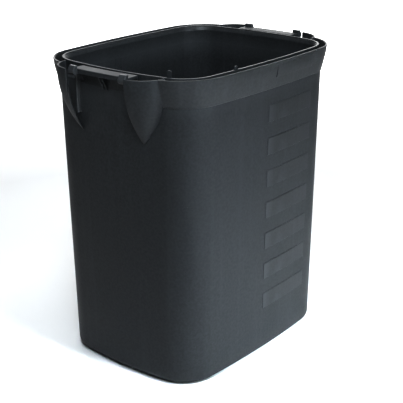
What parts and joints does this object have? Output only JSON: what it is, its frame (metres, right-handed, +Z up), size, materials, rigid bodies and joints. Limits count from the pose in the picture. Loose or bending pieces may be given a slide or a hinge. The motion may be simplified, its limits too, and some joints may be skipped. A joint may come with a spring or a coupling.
{
  "type": "canister filter case",
  "caption": "Open-topped tapered plastic tub with bowed sides, a double rim and flared collar, and latch ledges, hooks and pointed hollow claws at both short ends.",
  "frame": {"origin": "centre of the footprint, on the surface that the feet stand on", "axes": "+Z up, X along the long side, Y across the depth with the front at -Y"},
  "size_m": [0.2472, 0.178, 0.2767],
  "materials": {
    "case": "fine matt grain, charcoal",
    "badge": "fine matt grain, charcoal",
    "relief": "smoother satin, charcoal",
    "foot": "matt black rubber"
  },
  "bodies": {
    "root": {"tub": "case", "seal_rim": "case", "front_collar": "case", "rear_collar": "case", "claw_left_front": "case", "claw_left_rear": "case", "claw_right_front": "case", "claw_right_rear": "case", "ledge_left": "case", "ledge_right": "case", "gussets_left": "case", "gussets_right": "case", "hook_left_front": "case", "hook_left_rear": "case", "hook_right_front": "case", "hook_right_rear": "case", "claw_ribs": "case", "rear_guide_ribs": "case", "corner_tab": "case", "rim_peg": "case", "collar_badge": "badge", "front_bars": "relief", "foot_left_front": "foot", "foot_left_rear": "foot", "foot_right_front": "foot", "foot_right_rear": "foot"}
  },
  "joints": []
}
